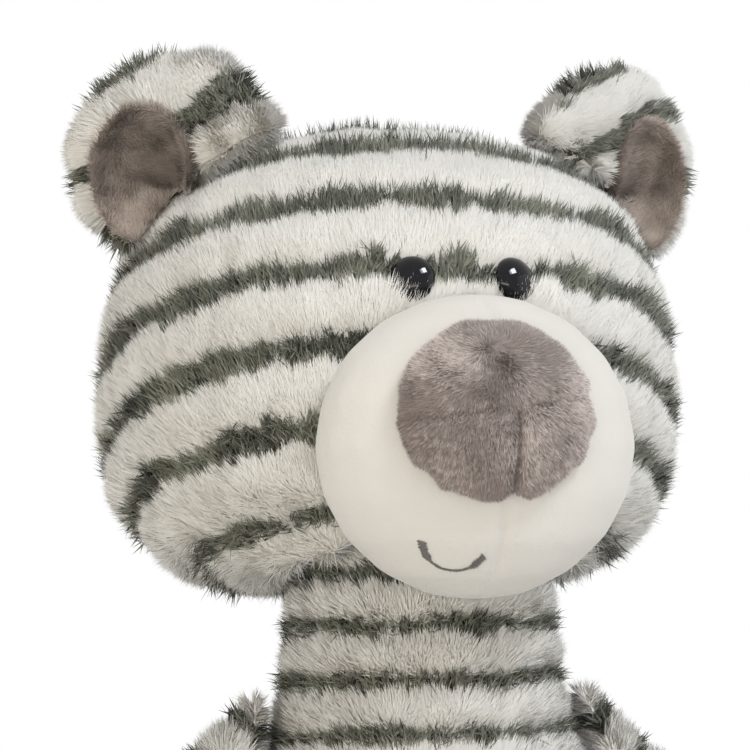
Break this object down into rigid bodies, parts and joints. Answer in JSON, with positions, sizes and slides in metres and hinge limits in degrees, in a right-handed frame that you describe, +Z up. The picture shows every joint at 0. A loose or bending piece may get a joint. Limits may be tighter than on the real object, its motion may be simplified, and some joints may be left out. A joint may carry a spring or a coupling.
{
  "type": "teddy bear",
  "caption": "Seated plush bear with a big striped fleece head, padded muzzle, panelled grey nose, button eyes, and limbs that swing.",
  "frame": {"origin": "middle of the flat seat that the bear sits on", "axes": "+Z up, the face looks along -Y, +X is the bear's own left"},
  "size_m": [0.2152, 0.2679, 0.2915],
  "materials": {
    "fleece": "long-pile striped fleece, matte",
    "muzzle_velour": "short smooth pile, soft sheen",
    "grey_velour": "short smooth pile, soft sheen",
    "eye_plastic": "high gloss",
    "washer_nylon": "plain moulded",
    "thread": "satin stitch",
    "filling": "loose fibre",
    "pellets": "cloth bag of plastic pellets"
  },
  "bodies": {
    "torso": {"torso_front_panel": "fleece", "torso_back_panel": "fleece", "seat_panel": "fleece", "torso_stuffing": "filling", "seat_pellet_bag": "pellets"},
    "neck": {"neck_wad": "filling"},
    "head": {"head_front_panel": "fleece", "head_back_panel": "fleece", "head_stuffing": "filling", "ear_left_back": "fleece", "ear_left_lining": "grey_velour", "ear_right_back": "fleece", "ear_right_lining": "grey_velour", "muzzle_cover": "muzzle_velour", "muzzle_stuffing": "filling", "nose_top_panel": "grey_velour", "nose_left_panel": "grey_velour", "nose_right_panel": "grey_velour", "nose_stuffing": "filling", "eye_left": "eye_plastic", "eye_washer_left": "washer_nylon", "eye_right": "eye_plastic", "eye_washer_right": "washer_nylon", "mouth_stitch": "thread"},
    "arm_left": {"arm_left_cover": "fleece", "arm_left_stuffing": "filling"},
    "leg_left": {"leg_left_cover": "fleece", "leg_left_stuffing": "filling", "leg_left_sole": "grey_velour"},
    "arm_right": {"arm_right_cover": "fleece", "arm_right_stuffing": "filling"},
    "leg_right": {"leg_right_cover": "fleece", "leg_right_stuffing": "filling", "leg_right_sole": "grey_velour"}
  },
  "joints": [
    {"name": "head_turn", "type": "hinge", "parent": "torso", "child": "neck", "pos_m": [0, 0, 0.137], "axis": [0, 0, 1], "range_deg": [-30, 30], "stiffness_Nm_per_rad": 0.3},
    {"name": "head_nod", "type": "hinge", "parent": "neck", "child": "head", "pos_m": [0, 0, 0.137], "axis": [1, 0, 0], "range_deg": [-15, 15], "stiffness_Nm_per_rad": 0.8},
    {"name": "arm_left_swing", "type": "hinge", "parent": "torso", "child": "arm_left", "pos_m": [0.034, 0, 0.109], "axis": [-1, 0, 0], "range_deg": [-30, 100]},
    {"name": "leg_left_swing", "type": "hinge", "parent": "torso", "child": "leg_left", "pos_m": [0.035, -0.04, 0.0205], "axis": [1, 0, 0], "range_deg": [-20, 90]},
    {"name": "arm_right_swing", "type": "hinge", "parent": "torso", "child": "arm_right", "pos_m": [-0.034, 0, 0.109], "axis": [-1, 0, 0], "range_deg": [-30, 100]},
    {"name": "leg_right_swing", "type": "hinge", "parent": "torso", "child": "leg_right", "pos_m": [-0.035, -0.04, 0.0205], "axis": [1, 0, 0], "range_deg": [-20, 90]}
  ]
}
